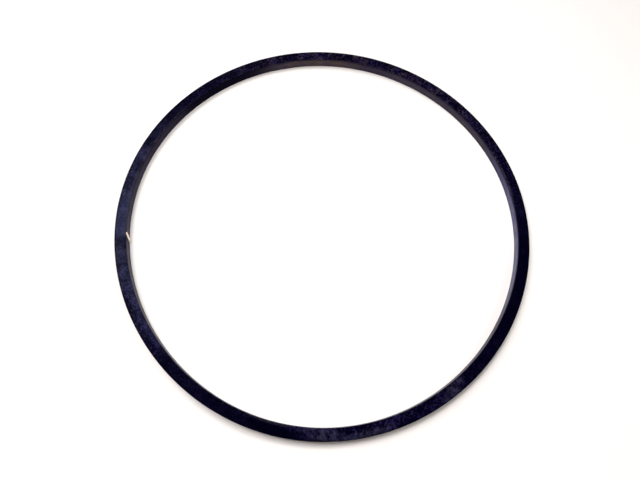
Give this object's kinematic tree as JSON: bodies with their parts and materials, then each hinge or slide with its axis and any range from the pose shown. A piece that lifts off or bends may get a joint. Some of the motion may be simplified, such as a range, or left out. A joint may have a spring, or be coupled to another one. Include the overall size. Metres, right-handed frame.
{
  "type": "square-cut rubber o-ring",
  "caption": "Black rubber sealing ring with a square section, lying flat, with a small nick in its bore wall.",
  "frame": {"origin": "centre of the ring on the plane of its bottom face", "axes": "+Z along the ring's axis, up from the surface it lies on; the nick is 193 degrees round from +X"},
  "size_m": [0.1304, 0.1304, 0.0035],
  "materials": {
    "black_rubber": "satin"
  },
  "bodies": {
    "root": {"ring": "black_rubber"}
  },
  "joints": []
}
